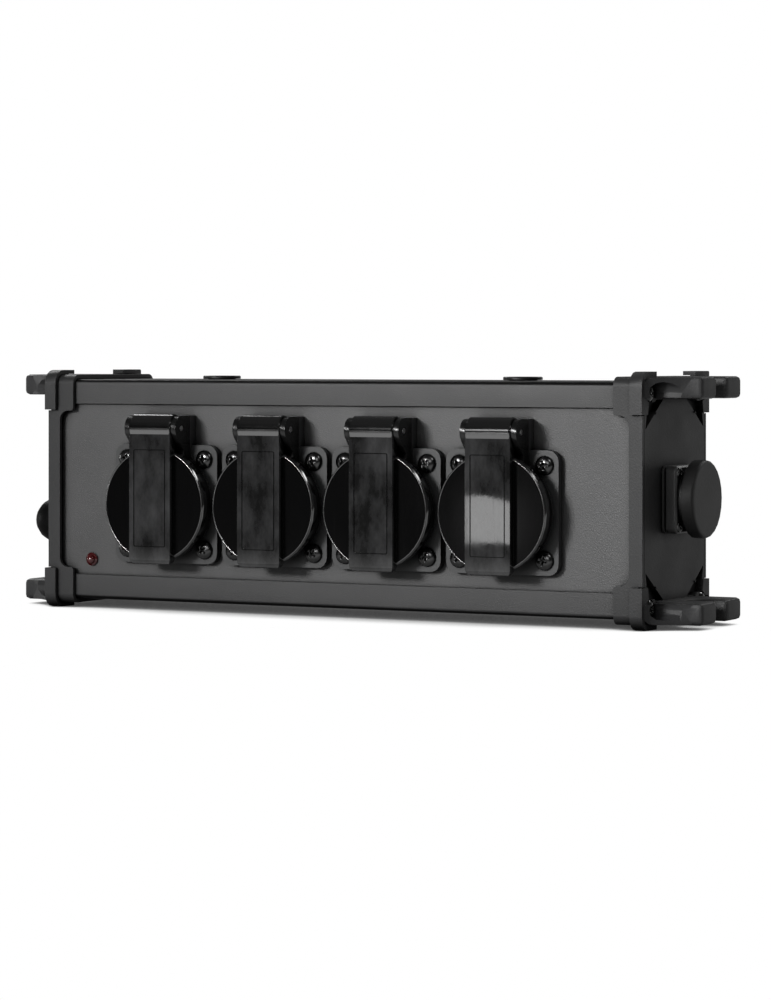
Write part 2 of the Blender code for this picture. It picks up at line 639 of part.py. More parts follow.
def hinge_ear_outline():
    """Hinge ear from the side, about the hinge pin: a foot on the flange and a round head."""
    clear_of_lid = LID_BACK + HINGE_GAP - PIN_Y
    foot = SOCKET_Z + COLLAR_RADIUS - HINGE_INTO_COLLAR - PIN_Z
    flange_top = SOCKET_Z + FLANGE_SIDE / 2 + SEAT - PIN_Z
    over_lid = SOCKET_Z + COLLAR_RADIUS - PIN_Z
    into_flange = (FLANGE_FRONT + FLANGE_BACK) / 2 - PIN_Y
    before_panel = PANEL_RECESS - SEAT - PIN_Y
    points = [(into_flange, foot), (clear_of_lid, foot), (clear_of_lid, over_lid)]
    points += list(reversed(arc(0, 0, EAR_PLATE_RADIUS, 90, 215, 8)))
    return points + [(before_panel, EAR_PLATE_RADIUS), (before_panel, flange_top), (into_flange, flange_top)]


def hinge_base_outline():
    """Block behind the roll, from the side and about the hinge pin."""
    front = HINGE_BASE_FRONT - PIN_Y
    foot = SOCKET_Z + COLLAR_RADIUS - 2 * OVERLAP - PIN_Z
    flange_top = SOCKET_Z + FLANGE_SIDE / 2 + SEAT - PIN_Z
    into_flange = (FLANGE_FRONT + FLANGE_BACK) / 2 - PIN_Y
    before_panel = PANEL_RECESS - SEAT - PIN_Y
    top = EAR_PLATE_RADIUS
    points = [(into_flange, foot), (front, foot), (front, top - OVERLAP), (front + OVERLAP, top)]
    return points + [(before_panel, top), (before_panel, flange_top), (into_flange, flange_top)]


def socket_body(name, x):
    """Flange, collar, recess and hinge ears in one moulding. Heights in the profile run out from the flange's front."""
    hole = COLLAR_RADIUS - 2 * OVERLAP
    outlines = [rounded_rectangle(FLANGE_SIDE, FLANGE_SIDE, FLANGE_ROUND), circle(0, 0, hole, 16)]
    outlines += flange_holes(0, 0, FLANGE_HOLE_RADIUS)
    middle = (x, (FLANGE_FRONT + FLANGE_BACK) / 2, SOCKET_Z)
    body = outline_solid(name, outlines, FLANGE_THICKNESS, FRONT_VIEW, FLANGE_PLASTIC, middle)
    floor = COLLAR_HEIGHT - RECESS_DEPTH
    middle_of_flange = -FLANGE_THICKNESS / 2
    profile = [(0, floor), (RECESS_RADIUS, floor), (RECESS_RADIUS, COLLAR_HEIGHT)]
    profile += [(COLLAR_RADIUS, COLLAR_HEIGHT), (COLLAR_RADIUS, middle_of_flange)]
    profile += [(CUP_RADIUS, middle_of_flange), (CUP_RADIUS, floor - CUP_FLOOR), (0, floor - CUP_FLOOR)]
    cup = turned(name + "_cup", profile, CUP_STEPS, FRONT_VIEW, None, (x, FLANGE_FRONT, SOCKET_Z))
    join(body, cup)
    hinge = (x, PIN_Y, PIN_Z)
    base = outline_solid(name + "_base", [hinge_base_outline()], 2 * EAR_PLATE_INNER + OVERLAP, SIDE_VIEW, None, hinge)
    join(body, base)
    for across in (-1, 1):
        plate = (x + across * (EAR_PLATE_INNER + EAR_PLATE / 2), PIN_Y, PIN_Z)
        outlines = [hinge_ear_outline(), circle(0, 0, LID_PIN_RADIUS + SEAT, 8)]
        join(body, outline_solid(f"{name}_ear_{across}", outlines, EAR_PLATE, SIDE_VIEW, None, plate))
    tang = (x + EAR_PLATE_INNER, PIN_Y, PIN_Z + SPRING_COIL_RADIUS)
    cut(body, cylinder(name + "_tang_hole", SPRING_WIRE_RADIUS + SEAT, 2 * TANG_LENGTH + OVERLAP, 6, SIDE_VIEW, None, tang))
    for across in (-1, 1):
        hole_place = (x + across * PIN_SPACING / 2, RECESS_FLOOR + CUP_FLOOR / 2, SOCKET_Z)
        cut(body, cylinder(f"{name}_pin_hole_{across}", PIN_HOLE_RADIUS, 2 * CUP_FLOOR, 10, FRONT_VIEW, None, hole_place))
    for up in (-1, 1):
        size = (EARTH_STRIP_WIDTH + 2 * SEAT, 2 * CUP_FLOOR, EARTH_STRIP_THICKNESS + 2 * SEAT)
        slot_place = (x, RECESS_FLOOR + CUP_FLOOR / 2, SOCKET_Z + up * EARTH_CLIP_RADIUS)
        cut(body, box(f"{name}_strip_slot_{up}", size, None, slot_place))
    return body


def socket_gasket(name, x):
    outlines = [rounded_rectangle(FLANGE_SIDE, FLANGE_SIDE, FLANGE_ROUND, 3), circle(0, 0, CUP_RADIUS + SEAT, CUP_STEPS)]
    outlines += flange_holes(0, 0, FLANGE_HOLE_RADIUS)
    middle = (x, GASKET_FRONT + GASKET_THICKNESS / 2, SOCKET_Z)
    return outline_solid(name, outlines, GASKET_THICKNESS, FRONT_VIEW, RUBBER, middle)


def strip_outline(path, thickness):
    """Both sides of a bent strip whose middle line is the path."""
    sides = ([], [])
    for i, point in enumerate(path):
        before = Vector(path[max(i - 1, 0)])
        after = Vector(path[min(i + 1, len(path) - 1)])
        along = (after - before).normalized()
        square = Vector((-along.y, along.x)) * thickness / 2
        sides[0].append(tuple(Vector(point) + square))
        sides[1].append(tuple(Vector(point) - square))
    return sides[0] + sides[1][::-1]


def earth_contact(name, x):
    """Sprung earth clips at the top and bottom of the recess, joined by a strip behind its floor."""
    clip_start = COLLAR_FRONT + 2 * OVERLAP
    clip_end = RECESS_FLOOR - OVERLAP
    back = CUP_BACK + SEAT + EARTH_STRIP_THICKNESS / 2
    upper = []
    for i in range(9):
        share = i / 8
        bow = EARTH_CLIP_BOW * math.sin(math.pi * share)
        upper.append((clip_start + (clip_end - clip_start) * share, EARTH_CLIP_RADIUS - bow))
    bend = EARTH_STRIP_THICKNESS / 2
    upper += [(back - bend, EARTH_CLIP_RADIUS), (back, EARTH_CLIP_RADIUS - bend)]
    path = upper + [(u, -v) for u, v in reversed(upper)]
    outline = strip_outline(path, EARTH_STRIP_THICKNESS)
    return outline_solid(name, [outline], EARTH_STRIP_WIDTH, SIDE_VIEW, BRASS, (x, 0, SOCKET_Z))


def contact_block(name, x):
    """Terminal block behind the recess, with a sleeve for each plug pin."""
    width, height, length = BLOCK_SIZE
    outlines = [rounded_rectangle(width, height, FLANGE_ROUND, 3)]
    for across in (-1, 1):
        outlines.append(circle(across * PIN_SPACING / 2, 0, PIN_HOLE_RADIUS, 10))
    middle = (x, CONTACT_BLOCK_FRONT + length / 2, SOCKET_Z)
    return outline_solid(name, outlines, length, FRONT_VIEW, CONTACT_PLASTIC, middle)


def strap_outline():
    """Strap and hinge roll from the side, about the hinge pin."""
    into_lid = LID_FRONT + LID_RIM - PIN_Y
    end = SOCKET_Z - LID_RADIUS - STRAP_BELOW_LID - PIN_Z
    neck = arc(0, 0, ROLL_RADIUS, 180, -60, 12)
    return neck + [(into_lid, -ROLL_RADIUS - OVERLAP), (into_lid, end), (-ROLL_RADIUS, end)]


def socket_lid(name, x):
    """Sprung lid: a strap that rolls round the hinge pin, over a round cover. Its origin is on the pin."""
    hinge = (x, PIN_Y, PIN_Z)
    outlines = [strap_outline(), circle(0, 0, LID_PIN_RADIUS + SEAT, 8)]
    lid =outline_solid(name, outlines, STRAP_WIDTH, SIDE_VIEW, LID_PLASTIC, hinge)
    end = SOCKET_Z - LID_RADIUS - STRAP_BELOW_LID - PIN_Z
    round_edges(
        lid, lambda co: co.z < end + SEAT / 3 and abs(co.x) > STRAP_WIDTH / 2 - SEAT / 3, STRAP_ROUND, 3
    )
    profile = [(0, LID_THICKNESS), (LID_RADIUS - LID_RIM, LID_THICKNESS), (LID_RADIUS, LID_THICKNESS - LID_RIM)]
    profile += [(LID_RADIUS, 0), (LID_SEAL_RADIUS, 0), (LID_SEAL_RADIUS, -LID_SEAL_HEIGHT), (0, -LID_SEAL_HEIGHT)]
    cover = turned(name + "_cover", profile, LID_STEPS, FRONT_VIEW, None, (0, LID_BACK - PIN_Y, SOCKET_Z - PIN_Z), lid)
    join(lid, cover)
    pocket_length = SPRING_PITCH * SPRING_TURNS + 3 * OVERLAP
    pocket = cylinder(name + "_spring_pocket", SPRING_POCKET_RADIUS, 2 * pocket_length, 10, SIDE_VIEW, None, (0, 0, 0), lid)
    pocket.location.x = STRAP_WIDTH / 2
    cut(lid, pocket)
    return lid


def tube(name, points, radius, paint, location, sides=1):
    """A round tube along the points, as a mesh of its own."""
    curve = bpy.data.curves.new(name, "CURVE")
    curve.dimensions = "3D"
    curve.bevel_depth = radius
    curve.bevel_resolution = sides
    curve.use_fill_caps = True
    spline = curve.splines.new("POLY")
    spline.points.add(len(points) - 1)
    for point, co in zip(spline.points, points):
        point.co = (*co, 1)
    curve.materials.append(paint)
    made = bpy.data.objects.new(name, curve)
    made.location = location
    made.parent = box_middle
    parts.objects.link(made)
    return made


def lid_spring(name, x):
    """Torsion spring on the hinge pin, with a straight tang into the right hinge ear."""
    steps = 6
    start = EAR_PLATE_INNER + TANG_LENGTH
    coil_start = EAR_PLATE_INNER - OVERLAP
    points = [(start, 0, SPRING_COIL_RADIUS)]
    for i in range(int(SPRING_TURNS * steps) + 1):
        angle = 2 * math.pi * i / steps
        along = coil_start - SPRING_PITCH * i / steps
        points.append((along, SPRING_COIL_RADIUS * math.sin(angle), SPRING_COIL_RADIUS * math.cos(angle)))
    return tube(name, points, SPRING_WIRE_RADIUS, STEEL, (x, PIN_Y, PIN_Z))


def lid_pin(name, x):
    return cylinder(name, LID_PIN_RADIUS, 2 * EAR_PLATE_OUTER, 10, SIDE_VIEW, STEEL, (x, PIN_Y, PIN_Z))


def connector_gasket(name, side, z):
    outlines = [rounded_rectangle(CONNECTOR_WIDTH, CONNECTOR_HEIGHT, CONNECTOR_ROUND, 3)]
    outlines.append(circle(0, 0, BARREL_RADIUS + SEAT, 20))
    middle = (side * (FRAME_HALF_LENGTH + SEAT + CONNECTOR_GASKET / 2), CONNECTOR_Y, z)
    return outline_solid(name, outlines, CONNECTOR_GASKET, SIDE_VIEW, RUBBER, middle)


def connector(name, side, z):
    """Locking connector: a square flange, a round nose with a keyed core in its mouth, and a barrel inside the box."""
    view = SIDE_VIEW if side > 0 else LEFT_VIEW
    flange_back = FRAME_HALF_LENGTH + 2 * SEAT + CONNECTOR_GASKET
    middle = (side * (flange_back + CONNECTOR_FLANGE / 2), CONNECTOR_Y, z)
    outline = rounded_rectangle(CONNECTOR_WIDTH, CONNECTOR_HEIGHT, CONNECTOR_ROUND, 3)
    flange = outline_solid(name, [outline], CONNECTOR_FLANGE, SIDE_VIEW, RUBBER, middle)
    rounded(flange, LID_RIM, 1)
    nose = CONNECTOR_FLANGE + NOSE_HEIGHT
    core = nose - CORE_BELOW_NOSE
    floor = nose - MOUTH_DEPTH
    shoulder = CONNECTOR_FLANGE / 2
    profile = [(0, nose), (NOSE_RADIUS, nose), (NOSE_RADIUS, shoulder), (BARREL_RADIUS, shoulder)]
    profile += [(BARREL_RADIUS, -BARREL_LENGTH), (0, -BARREL_LENGTH)]
    join(flange, turned(name + "_body", profile, 24, view, None, (side * flange_back, CONNECTOR_Y, z)))
    profile = [(0, nose + OVERLAP), (MOUTH_RADIUS, nose + OVERLAP), (MOUTH_RADIUS, floor), (CORE_RADIUS, floor)]
    profile += [(CORE_RADIUS, core), (0, core)]
    cut(flange, turned(name + "_mouth", profile, 22, view, None, (side * flange_back, CONNECTOR_Y, z)))
    key = box(name + "_keyway", (2 * OVERLAP, 1.5 * OVERLAP, CORE_RADIUS), None, (0, 0, 0))
    key.location = (side * (flange_back + core), CONNECTOR_Y, z)
    cut(flange, key)
    return flange


def outlet_cap(name, z):
    """Rubber cap pushed over the outlet's nose, with a finger tab on its far side. Its height runs out along X."""
    flange_front = FRAME_HALF_LENGTH + 2 * SEAT + CONNECTOR_GASKET + CONNECTOR_FLANGE
    skirt_end = flange_front + NOSE_HEIGHT + SEAT - RUBBER_CAP_SKIRT
    top = RUBBER_CAP_SKIRT + RUBBER_CAP_TOP
    bore = NOSE_RADIUS + SEAT
    edge = RUBBER_CAP_ROUND
    profile = [(0, top)]
    profile += [(u, v) for u, v in arc(RUBBER_CAP_RADIUS - edge, top - edge, edge, 90, 0, 3)]
    profile += [(RUBBER_CAP_RADIUS, 0), (bore, 0), (bore, RUBBER_CAP_SKIRT), (0, RUBBER_CAP_SKIRT)]
    cap = turned(name, profile, 24, SIDE_VIEW, RUBBER, (skirt_end, CONNECTOR_Y, z))
    size = (RUBBER_CAP_TOP, RUBBER_CAP_RADIUS - bore + CAP_TAB_REACH, CAP_TAB_WIDTH)
    tab = box(name + "_tab", size, None, (0, 0, 0))
    tab.location = (skirt_end + top / 2, CONNECTOR_Y + bore + size[1] / 2, z)
    join(cap, tab)
    return cap


def reset_breaker(name):
    """Thermal breaker in the left end: a body and neck inside, and the bezel round its boot outside."""
    outer = -FRAME_HALF_LENGTH - SEAT
    bore = BOOT_RADIUS + SEAT
    neck_end = -BREAKER_NECK_LENGTH - OVERLAP
    profile = [(0, BEZEL_FLOOR), (bore, BEZEL_FLOOR), (bore, BEZEL_HEIGHT), (bore + BEZEL_WALL, BEZEL_HEIGHT)]
    profile += [(bore + BEZEL_WALL, 0), (BREAKER_NECK_RADIUS, 0), (BREAKER_NECK_RADIUS, neck_end), (0, neck_end)]
    bezel = turned(name, profile, 20, LEFT_VIEW, CAP_PLASTIC, (outer, BREAKER_Y, BREAKER_Z))
    start = outer + BREAKER_NECK_LENGTH
    size = (BREAKER_BODY_END - start, BREAKER_BODY_DEPTH, BREAKER_BODY_HEIGHT)
    join(bezel, box(name + "_body", size, None, (start + size[0] / 2, BREAKER_Y, BREAKER_Z)))
    return bezel


def reset_boot(name):
    """Domed rubber boot over the breaker's button. Its origin is on its line of travel, at the end plate."""
    foot = BEZEL_FLOOR + SEAT + BOOT_TRAVEL
    profile = arc(0, BOOT_DOME_START, BOOT_RADIUS, 90, 0, 5)
    profile[0] = (0, BOOT_DOME_START + BOOT_RADIUS)
    profile += [(BOOT_RADIUS, foot), (0, foot)]
    return turned(name, profile, 20, LEFT_VIEW, RUBBER, (-FRAME_HALF_LENGTH - SEAT, BREAKER_Y, BREAKER_Z))


def indicator_lamp(name):
    """Red dome in a thin bezel, pushed through the front panel. Heights run out from the panel's face."""
    dome = LAMP_RADIUS * 0.92
    step = LAMP_RADIUS * 0.3
    profile = [(0, dome + step)] + [(u, v + step) for u, v in arc(0, 0, dome, 72, 0, 4)]
    profile += [(LAMP_BEZEL_RADIUS, step), (LAMP_BEZEL_RADIUS, 0), (LAMP_RADIUS, 0)]
    profile += [(LAMP_RADIUS, -LAMP_LENGTH), (0, -LAMP_LENGTH)]
    return turned(name, profile, 12, FRONT_VIEW, LAMP_RED, (LAMP_X, PANEL_RECESS - SEAT, LAMP_Z))


def clamp_insert(name, x):
    """Threaded insert with a thin flange on the top rail. Heights run up from the rail's top."""
    profile = [(INSERT_BORE_RADIUS, INSERT_FLANGE_HEIGHT), (INSERT_FLANGE_RADIUS - SEAT, INSERT_FLANGE_HEIGHT)]
    profile += [(INSERT_FLANGE_RADIUS, INSERT_FLANGE_HEIGHT - SEAT), (INSERT_FLANGE_RADIUS, 0)]
    profile += [(INSERT_BODY_RADIUS, 0), (INSERT_BODY_RADIUS, -INSERT_LENGTH), (INSERT_BORE_RADIUS, -INSERT_LENGTH)]
    return turned(name, profile, 16, TOP_VIEW, STEEL, (x, MID_Y, CASE_TOP + SEAT))


def wire(name, row, paint):
    """A wire along the backs of the contact blocks, from the inlet's barrel to the outlet's."""
    level = SOCKET_Z + row * WIRE_SPACING
    barrel_end = FRAME_HALF_LENGTH + 2 * SEAT + CONNECTOR_GASKET - BARREL_LENGTH - SEAT
    start = Vector((-barrel_end, CONNECTOR_Y + row * WIRE_SPACING / 2, INLET_Z - WIRE_SPACING))
    end = Vector((barrel_end, CONNECTOR_Y + row * WIRE_SPACING / 2, OUTLET_Z))
    first = Vector((SOCKET_XS[0], WIRE_Y, level))
    last = Vector((SOCKET_XS[-1], WIRE_Y, level))
    points = [start]
    for a, b in ((start, first), (last, end)):
        for i in range(7):
            t = i / 6
            ease = t * t * (3 - 2 * t)
            points.append(Vector((a.x + (b.x - a.x) * t, a.y + (b.y - a.y) * ease, a.z + (b.z - a.z) * ease)))
    return tube(name, points[1:], WIRE_RADIUS, paint, (0, 0, 0), 2)


top_rail = rail("top_rail", 1, CASE_TOP)
rail("bottom_rail", -1, CASE_BOTTOM)
panel("front_panel", PANEL_Y, front_panel_holes())
panel("back_panel", CASE_DEPTH - PANEL_Y, [])

for side, end_name in ((-1, "left"), (1, "right")):
    end_frame(f"end_frame_{end_name}", side)
    cap = end_cap(f"end_cap_{end_name}", side)
    connector_z = OUTLET_Z if side > 0 else INLET_Z
    plate_hole(cap, side, "_connector_hole", BARREL_RADIUS + SEAT, CONNECTOR_Y, connector_z)
    if side < 0:
        plate_hole(cap, side, "_breaker_hole", BREAKER_NECK_RADIUS + SEAT, BREAKER_Y, BREAKER_Z)
    end_screws(side, end_name)

for number, socket_x in enumerate(SOCKET_XS, 1):
    socket_body(f"socket_body_{number}", socket_x)
    socket_gasket(f"socket_gasket_{number}", socket_x)
    earth_contact(f"earth_contact_{number}", socket_x)
    contact_block(f"contact_block_{number}", socket_x)
    socket_lid(f"socket_lid_{number}", socket_x)
    lid_pin(f"lid_pin_{number}", socket_x)
    lid_spring(f"lid_spring_{number}", socket_x)

connector_gasket("outlet_gasket", 1, OUTLET_Z)
connector("outlet_connector", 1, OUTLET_Z)
outlet_cap("outlet_cap", OUTLET_Z)
connector_gasket("inlet_gasket", -1, INLET_Z)
connector("inlet_connector", -1, INLET_Z)
reset_breaker("reset_breaker")
reset_boot("reset_boot")
indicator_lamp("indicator_lamp")

for side, end_name in ((-1, "left"), (1, "right")):
    insert_x = side * INSERT_SPACING / 2
    hole = cylinder(f"insert_hole_{end_name}", INSERT_BODY_RADIUS + SEAT, 4 * RAIL_WALL, 16, TOP_VIEW, None, (0, 0, 0))
    hole.location = (insert_x, MID_Y, CASE_TOP)
    cut(top_rail, hole)
    clamp_insert(f"clamp_insert_{end_name}", insert_x)

wire("live_wire", 1, BROWN_WIRE)
wire("neutral_wire", -1, BLUE_WIRE)
wire("earth_wire", 0, GREEN_WIRE)
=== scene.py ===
import itertools
import math

import bmesh
import bpy
from mathutils import Matrix, Vector


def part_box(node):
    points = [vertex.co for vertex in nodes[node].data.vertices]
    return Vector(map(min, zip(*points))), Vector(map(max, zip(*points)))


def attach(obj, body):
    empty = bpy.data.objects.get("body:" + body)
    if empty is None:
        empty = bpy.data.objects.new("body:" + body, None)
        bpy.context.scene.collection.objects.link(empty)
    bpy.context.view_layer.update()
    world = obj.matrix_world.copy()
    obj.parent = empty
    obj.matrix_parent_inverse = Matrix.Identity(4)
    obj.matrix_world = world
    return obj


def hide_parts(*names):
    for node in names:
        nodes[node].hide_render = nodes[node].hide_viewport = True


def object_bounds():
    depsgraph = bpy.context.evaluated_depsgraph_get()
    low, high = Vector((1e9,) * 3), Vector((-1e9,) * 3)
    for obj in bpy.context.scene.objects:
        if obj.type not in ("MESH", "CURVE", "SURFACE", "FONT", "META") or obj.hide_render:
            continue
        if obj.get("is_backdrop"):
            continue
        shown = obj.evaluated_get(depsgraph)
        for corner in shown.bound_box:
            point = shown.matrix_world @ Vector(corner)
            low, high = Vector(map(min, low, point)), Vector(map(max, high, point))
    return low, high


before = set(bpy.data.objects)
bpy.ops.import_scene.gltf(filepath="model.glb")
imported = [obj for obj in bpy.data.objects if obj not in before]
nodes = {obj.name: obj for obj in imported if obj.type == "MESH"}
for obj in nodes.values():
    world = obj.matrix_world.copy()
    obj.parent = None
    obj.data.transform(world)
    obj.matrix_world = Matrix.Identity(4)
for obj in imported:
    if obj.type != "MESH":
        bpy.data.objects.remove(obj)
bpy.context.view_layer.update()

MM = 0.001
scene = bpy.context.scene

# Places and sizes of the CAD nodes, in millimetres from the frame's origin
PANEL_RECESS = 1.5
FRONT_Y = round(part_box("front_panel")[0].y / MM - PANEL_RECESS, 2)
SOCKET_Z = 45.6
SOCKET_XS = [-79.65, -27.15, 25.35, 77.85]
PIN_Y = FRONT_Y - 10
PIN_Z = 77.8
STRAP_FRONT = FRONT_Y - 15.5
FLANGE_FRONT = FRONT_Y - 2.1
FLANGE_HOLE = 19
CONNECTOR_FLANGE = 5.2
CONNECTOR_HOLE_Y = 11.8
CONNECTOR_HOLE_Z = 10.8
CAD_HEAD_HEIGHT = 2.3

# Screws: the corners they sit in, as steps along two axes, and their turns in radians
CORNERS = [(-1, -1), (-1, 1), (1, -1), (1, 1)]
SCREW_TURNS = [0.3, 1.1, 0.7, 0.1, 1.4, 0.5, 0.9, 0.2, 1.2, 0.6, 0.0, 0.8, 1.0, 0.4, 1.3, 0.15]

# Label frames, in millimetres: width, height and corner radius of their two outlines
LABEL_OUTER = (15.4, 40.8, 0.7)
LABEL_INNER = (14.8, 40.2, 0.5)
LABEL_SUNK = -0.1
LABEL_PROUD = 0.22
LABEL_Z = 48.5

# Roll sleeves, in millimetres and degrees
ROLL_OUTER = 6.05
ROLL_INNER = 5.2
ROLL_HALF_WIDTH = 9.75
ROLL_CHAMFER = 0.3
ROLL_START = -27
ROLL_STEP = 4
ROLL_STRIPS = 32
ROLL_BRIGHT_STRIPS = 7
ROLL_TAPER_STRIPS = 5
ROLL_TAPER = 0.5

# Beads round the lids, in millimetres
BEAD_RADIUS = 0.28
BEAD_INSET = 0.75
BEAD_BEHIND_STRAP = 3.35

# Lid plastic: base colours, and specular levels
COVER_BLACK = (0.003, 0.003, 0.0031)
STRAP_CLEAN = (0.008, 0.008, 0.008)
STRAP_HAZE = (0.045, 0.045, 0.046)
COVER_GLOSS = 0.07
STRAP_GLOSS = 0.5
RIM_GLOSS = 1.0

# How far painted shade reaches out of a corner, and the floor's painted shadow out from the box,
# in metres
CREVICE_REACH = 0.0065
SHADOW_REACH = 0.05

# Where the lights are aimed, in metres; the box stands on the floor
BOX_MIDDLE = (0, 0, 0.05)
RIGHT_OF_MIDDLE = (0.05, 0, 0.05)

# Material helpers


def new_material(name):
    mat = bpy.data.materials.new(name)
    mat.use_nodes = True
    tree = mat.node_tree
    return mat, tree, tree.nodes["Principled BSDF"]


def split_axes(tree, output):
    """X, Y and Z of one of the texture coordinates."""
    coords = tree.nodes.new("ShaderNodeTexCoord")
    axes = tree.nodes.new("ShaderNodeSeparateXYZ")
    tree.links.new(coords.outputs[output], axes.inputs["Vector"])
    return axes.outputs


def noise(tree, scale, detail, roughness=0.55, stretch=(1, 1, 1)):
    coords = tree.nodes.new("ShaderNodeTexCoord")
    mapping = tree.nodes.new("ShaderNodeMapping")
    mapping.inputs["Scale"].default_value = stretch
    texture = tree.nodes.new("ShaderNodeTexNoise")
    texture.inputs["Scale"].default_value = scale
    texture.inputs["Detail"].default_value = detail
    texture.inputs["Roughness"].default_value = roughness
    tree.links.new(coords.outputs["Object"], mapping.inputs["Vector"])
    tree.links.new(mapping.outputs["Vector"], texture.inputs["Vector"])
    return texture.outputs["Fac"]


def ramp(tree, value, low, high, start, end):
    """Runs from start to end while the value runs from low to high."""
    node = tree.nodes.new("ShaderNodeMapRange")
    node.inputs["From Min"].default_value = low
    node.inputs["From Max"].default_value = high
    node.inputs["To Min"].default_value = start
    node.inputs["To Max"].default_value = end
    tree.links.new(value, node.inputs["Value"])
    return node.outputs["Result"]


def calculate(tree, operation, first, second):
    node = tree.nodes.new("ShaderNodeMath")
    node.operation = operation
    tree.links.new(first, node.inputs[0])
    tree.links.new(second, node.inputs[1])
    return node.outputs[0]


def mix(tree, factor, first, second, kind="RGBA"):
    """Mixes two colours or two numbers, each a plain value or a node's output."""
    node = tree.nodes.new("ShaderNodeMix")
    node.data_type = kind
    for name, value in (("A", first), ("B", second)):
        if isinstance(value, bpy.types.NodeSocket):
            tree.links.new(value, node.inputs[name])
        else:
            node.inputs[name].default_value = (*value, 1) if kind == "RGBA" else value
    tree.links.new(factor, node.inputs["Factor"])
    return node.outputs["Result"]


def multiply(tree, colour, factor):
    node = tree.nodes.new("ShaderNodeMix")
    node.data_type = "RGBA"
    node.blend_type = "MULTIPLY"
    node.inputs["Factor"].default_value = 1
    tree.links.new(colour, node.inputs["A"])
    tree.links.new(factor, node.inputs["B"])
    return node.outputs["Result"]


def occlusion(tree, distance, samples):
    """1 in the open, and less near other surfaces."""
    node = tree.nodes.new("ShaderNodeAmbientOcclusion")
    node.samples = samples
    node.inputs["Distance"].default_value = distance
    return node.outputs["AO"]


def bump(tree, shader, height, strength, distance):
    node = tree.nodes.new("ShaderNodeBump")
    node.inputs["Strength"].default_value = strength
    node.inputs["Distance"].default_value = distance
    tree.links.new(height, node.inputs["Height"])
    tree.links.new(node.outputs["Normal"], shader.inputs["Normal"])


def source_of(shader, name):
    """The node output that is linked to one of a shader's sockets."""
    return shader.inputs[name].links[0].from_socket


def scale_by(mat, share):
    """Multiplies a material's colour and gloss by a value from its own nodes."""
    tree = mat.node_tree
    shader = tree.nodes["Principled BSDF"]
    base = multiply(tree, source_of(shader, "Base Color"), share)
    tree.links.new(base, shader.inputs["Base Color"])
    gloss = calculate(tree, "MULTIPLY", source_of(shader, "Specular IOR Level"), share)
    tree.links.new(gloss, shader.inputs["Specular IOR Level"])


def facing(tree, axis):
    """How far a surface faces along an axis either way, squared."""
    along = split_axes(tree, "Normal")[axis]
    return calculate(tree, "MULTIPLY", along, along)


def paint_shade_on_round_edges(mat, deepest):
    """Painted shade: the long rounded edges are painted darker, in colour and gloss, than the
    flat faces beside them.
    """
    tree = mat.node_tree
    up = facing(tree, "Z")
    rising = ramp(tree, up, 0.02, 0.25, 1, deepest)
    falling = ramp(tree, up, 0.85, 0.99, 0, 1 - deepest)
    scale_by(mat, calculate(tree, "ADD", rising, falling))


def paint_shade_on_sides(mat, deepest):
    """Painted shade: the rim of a cap is painted darker, in colour and gloss, than its face,
    which looks along X.
    """
    tree = mat.node_tree
    scale_by(mat, ramp(tree, facing(tree, "X"), 0.4, 0.85, deepest, 1))


def paint_shade_in_front(mat, level, factor):
    """Painted shade: makes a material darker, and also smoother, in front of a level, in
    millimetres.
    """
    tree = mat.node_tree
    shader = tree.nodes["Principled BSDF"]
    place = split_axes(tree, "Object")["Y"]
    share = ramp(tree, place, (level - 0.4) * MM, level * MM, factor, 1)
    base = multiply(tree, source_of(shader, "Base Color"), share)
    tree.links.new(base, shader.inputs["Base Color"])
    smoother = ramp(tree, share, factor, 1, 0.55, 1)
    rough = calculate(tree, "MULTIPLY", source_of(shader, "Roughness"), smoother)
    tree.links.new(rough, shader.inputs["Roughness"])


# Materials


def grained(name, colour, variation, rough, grain, depth, specular=0.5, fleck=None, painted_shade=None):
    """Moulded plastic, rubber or powder coat: an uneven colour and gloss, and a fine grain.

    A fleck is a lighter colour on the grain. Painted shade is what is left of the colour
    and gloss in the deepest corners and gaps, which occlusion darkens.
    """
    mat, tree, shader = new_material(name)
    cloud = noise(tree, 45, 5)
    darker = tuple(c * (1 - variation) for c in colour)
    lighter = tuple(c * (1 + variation) for c in colour)
    base = mix(tree, ramp(tree, cloud, 0.3, 0.7, 0, 1), darker, lighter)
    grains = noise(tree, grain, 3, 0.6)
    if fleck:
        base = mix(tree, ramp(tree, grains, 0.55, 0.75, 0, 0.5), base, fleck)
    shader.inputs["Specular IOR Level"].default_value = specular
    # Painted shade: colour and gloss fall near other surfaces
    if painted_shade:
        factor = ramp(tree, occlusion(tree, CREVICE_REACH, 6), 0.25, 0.80, painted_shade, 1)
        base = multiply(tree, base, factor)
        gloss = ramp(tree, factor, 0, 1, 0, specular)
        tree.links.new(gloss, shader.inputs["Specular IOR Level"])
    tree.links.new(base, shader.inputs["Base Color"])
    uneven = ramp(tree, cloud, 0.3, 0.7, rough - 0.05, rough + 0.05)
    tree.links.new(uneven, shader.inputs["Roughness"])
    bump(tree, shader, grains, 0.5, depth)
    return mat


